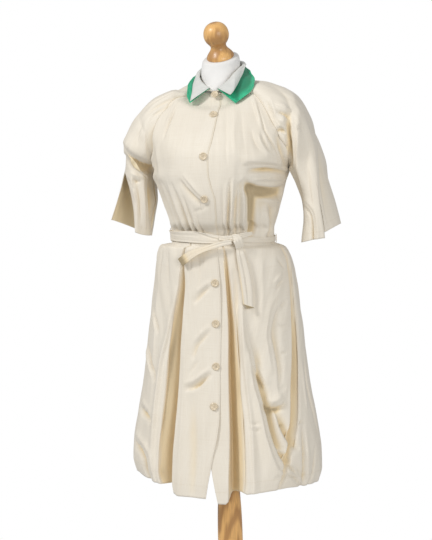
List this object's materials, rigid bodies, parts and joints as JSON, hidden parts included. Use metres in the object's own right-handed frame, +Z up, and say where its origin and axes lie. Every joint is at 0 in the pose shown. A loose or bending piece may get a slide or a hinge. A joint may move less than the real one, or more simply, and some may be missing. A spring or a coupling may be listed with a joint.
{
  "type": "shirt dress on a dress form",
  "caption": "Belted button-through shirt dress with raglan sleeves, slit cuffs, pleated skirt and layered collar, on a limbless dress form with a turned wooden stand.",
  "frame": {"origin": "centre of the stand's underside, on the floor", "axes": "+Z up along the post, -Y the way the dress faces, +X the wearer's left"},
  "size_m": [0.5855, 0.388, 1.5957],
  "materials": {
    "dress_cotton": "plain-woven cream cotton, matt",
    "collar_cotton": "white cotton, matt, lightly stiffened",
    "collar_satin": "green satin, soft sheen",
    "button_horn": "cream horn-like resin, polished",
    "form_cover": "white jersey stretched over the form, matt",
    "stand_wood": "turned beech, honey lacquer, satin"
  },
  "bodies": {
    "root": {"bodice_front_left": "dress_cotton", "bodice_front_right": "dress_cotton", "bodice_back": "dress_cotton", "sleeve_left": "dress_cotton", "sleeve_right": "dress_cotton", "skirt_front_left": "dress_cotton", "skirt_front_right": "dress_cotton", "skirt_back": "dress_cotton", "collar_stand": "dress_cotton", "collar_white": "collar_cotton", "collar_green": "collar_satin", "belt_band": "dress_cotton", "belt_knot": "dress_cotton", "belt_tail_long": "dress_cotton", "belt_tail_short": "dress_cotton", "belt_loop_left": "dress_cotton", "belt_loop_right": "dress_cotton", "button_1": "button_horn", "button_2": "button_horn", "button_3": "button_horn", "button_4": "button_horn", "button_5": "button_horn", "button_6": "button_horn", "button_7": "button_horn", "button_8": "button_horn", "form_torso": "form_cover", "form_neck": "form_cover", "finial": "stand_wood", "post": "stand_wood", "base": "stand_wood"}
  },
  "joints": []
}
